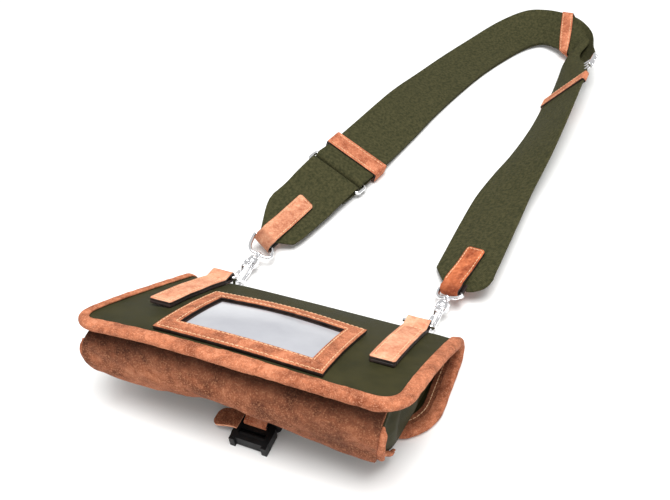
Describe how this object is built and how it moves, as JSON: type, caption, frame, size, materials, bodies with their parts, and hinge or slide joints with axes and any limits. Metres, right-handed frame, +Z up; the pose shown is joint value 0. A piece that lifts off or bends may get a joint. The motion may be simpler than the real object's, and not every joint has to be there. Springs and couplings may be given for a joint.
{
  "type": "crossbody bag",
  "caption": "Small soft bag with a wrap-over flap, suede bindings, a clear card window and a wide webbing strap on swivel snap hooks, lying on its flap.",
  "frame": {"origin": "middle of the flap's flat outer face, which lies on the floor", "axes": "+Z up from the floor, +X along the bag to the right as seen from its bottom edge, +Y from the bottom edge towards the strap"},
  "size_m": [0.2538, 0.6061, 0.0799],
  "materials": {
    "nylon": "smooth olive nylon",
    "webbing": "woven olive webbing",
    "suede": "brushed suede",
    "bottom_suede": "mottled suede",
    "pale_suede": "pale suede",
    "strap_suede": "tan suede",
    "chrome": "polished",
    "plastic": "black moulded",
    "clear_vinyl": "clear vinyl over a grey backing"
  },
  "bodies": {
    "bag": {"back_panel_flap": "nylon", "edge_binding": "suede", "bottom_panel": "bottom_suede", "front_panel": "nylon", "gusset_left": "nylon", "gusset_right": "nylon", "side_binding_left": "suede", "side_binding_right": "suede", "window_frame": "suede", "window_pane": "clear_vinyl", "ring_tab_left": "pale_suede", "ring_tab_right": "pale_suede", "tab_ring_left": "chrome", "tab_ring_right": "chrome", "hook_eye_left": "chrome", "hook_eye_right": "chrome", "strap_tab_left": "strap_suede", "strap_tab_right": "strap_suede", "strap_left_end": "webbing", "strap_long": "webbing", "strap_ring": "chrome", "strap_slider": "chrome", "strap_keeper_1": "strap_suede", "strap_keeper_2": "strap_suede", "strap_keeper_3": "strap_suede", "buckle_male": "plastic", "buckle_female": "plastic", "closure_bag_strap": "strap_suede", "closure_flap_strap": "strap_suede", "closure_tail": "strap_suede"},
    "hook_left": {"hook_body_left": "chrome"},
    "gate_left": {"hook_gate_left": "chrome"},
    "hook_right": {"hook_body_right": "chrome"},
    "gate_right": {"hook_gate_right": "chrome"}
  },
  "joints": [
    {"name": "swivel_left", "type": "hinge", "parent": "bag", "child": "hook_left", "pos_m": [-0.0708, 0.04679, 0.00883], "axis": [0.0886, 0.995, 0.0457], "range_deg": [-35, 35]},
    {"name": "gate_left", "type": "hinge", "parent": "hook_left", "child": "gate_left", "pos_m": [-0.06956, 0.06072, 0.01377], "axis": [0.9961, -0.0887, 0], "range_deg": [0, 20], "stiffness_Nm_per_rad": 0.02, "springref_deg": -11.46},
    {"name": "swivel_right", "type": "hinge", "parent": "bag", "child": "hook_right", "pos_m": [0.08026, 0.04679, 0.01063], "axis": [0.1133, 0.9933, 0.0207], "range_deg": [-35, 35]},
    {"name": "gate_right", "type": "hinge", "parent": "hook_right", "child": "gate_right", "pos_m": [0.08186, 0.0608, 0.01522], "axis": [0.9936, -0.1133, 0], "range_deg": [0, 20], "stiffness_Nm_per_rad": 0.02, "springref_deg": -11.46}
  ]
}
